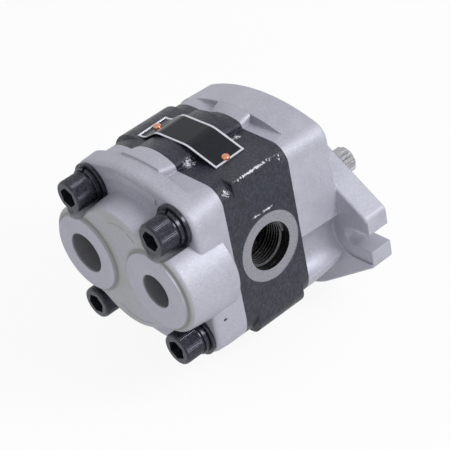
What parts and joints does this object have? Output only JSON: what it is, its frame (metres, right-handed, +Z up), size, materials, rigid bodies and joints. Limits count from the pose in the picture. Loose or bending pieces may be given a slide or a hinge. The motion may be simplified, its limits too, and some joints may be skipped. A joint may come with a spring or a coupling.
{
  "type": "hydraulic gear pump",
  "caption": "External gear pump with a two-bolt flange, splined drive shaft, black iron body between aluminium covers and threaded side ports.",
  "frame": {"origin": "centre of the round pilot, on the flange's mounting face, on the drive shaft's axis", "axes": "+X out of the flange along the drive shaft, +Z up from the drive shaft to the idler gear, +Y towards the suction port"},
  "size_m": [0.1615, 0.133, 0.1279],
  "materials": {
    "cast_aluminium": "fine sand-cast skin, satin",
    "black_cast_iron": "rough casting under thin satin black paint, worn on its edges",
    "ground_steel": "hardened and ground, bright",
    "pressure_plate_alloy": "machined bearing alloy",
    "nitrile_rubber": "matte",
    "white_backup_plastic": "matte",
    "bush_bronze": "machined",
    "spring_steel": "dark spring steel",
    "black_oxide_steel": "black oxide, oiled, knurled heads",
    "dowel_steel": "ground",
    "name_plate_black": "gloss black with a bare silver border",
    "copper_screw": "copper-plated steel drive screws"
  },
  "bodies": {
    "housing": {"front_cover": "cast_aluminium", "gear_body": "black_cast_iron", "rear_cover": "cast_aluminium", "front_pressure_plate": "pressure_plate_alloy", "rear_pressure_plate": "pressure_plate_alloy", "front_plate_seal": "nitrile_rubber", "rear_plate_seal": "nitrile_rubber", "front_plate_backup_ring": "white_backup_plastic", "rear_plate_backup_ring": "white_backup_plastic", "front_drive_bush": "bush_bronze", "front_idler_bush": "bush_bronze", "rear_drive_bush": "bush_bronze", "rear_idler_bush": "bush_bronze", "front_body_seal": "nitrile_rubber", "rear_body_seal": "nitrile_rubber", "shaft_seal": "nitrile_rubber", "seal_garter_spring": "spring_steel", "seal_retaining_ring": "spring_steel", "cover_bolts": "black_oxide_steel", "spring_washers": "black_oxide_steel", "flat_washers": "black_oxide_steel", "front_dowel_pins": "dowel_steel", "rear_dowel_pins": "dowel_steel", "name_plate": "name_plate_black", "name_plate_screws": "copper_screw"},
    "drive_shaft": {"drive_gear_shaft": "ground_steel"},
    "idler": {"idler_gear": "ground_steel"}
  },
  "joints": [
    {"name": "drive_shaft_spin", "type": "hinge", "parent": "housing", "child": "drive_shaft", "pos_m": [0, 0, 0], "axis": [1, 0, 0], "continuous": true},
    {"name": "idler_spin", "type": "hinge", "parent": "housing", "child": "idler", "pos_m": [-0.065, 0, 0.044], "axis": [1, 0, 0], "continuous": true}
  ],
  "couplings": [
    {"joint": "idler_spin", "follows": "drive_shaft_spin", "ratio": -1}
  ]
}
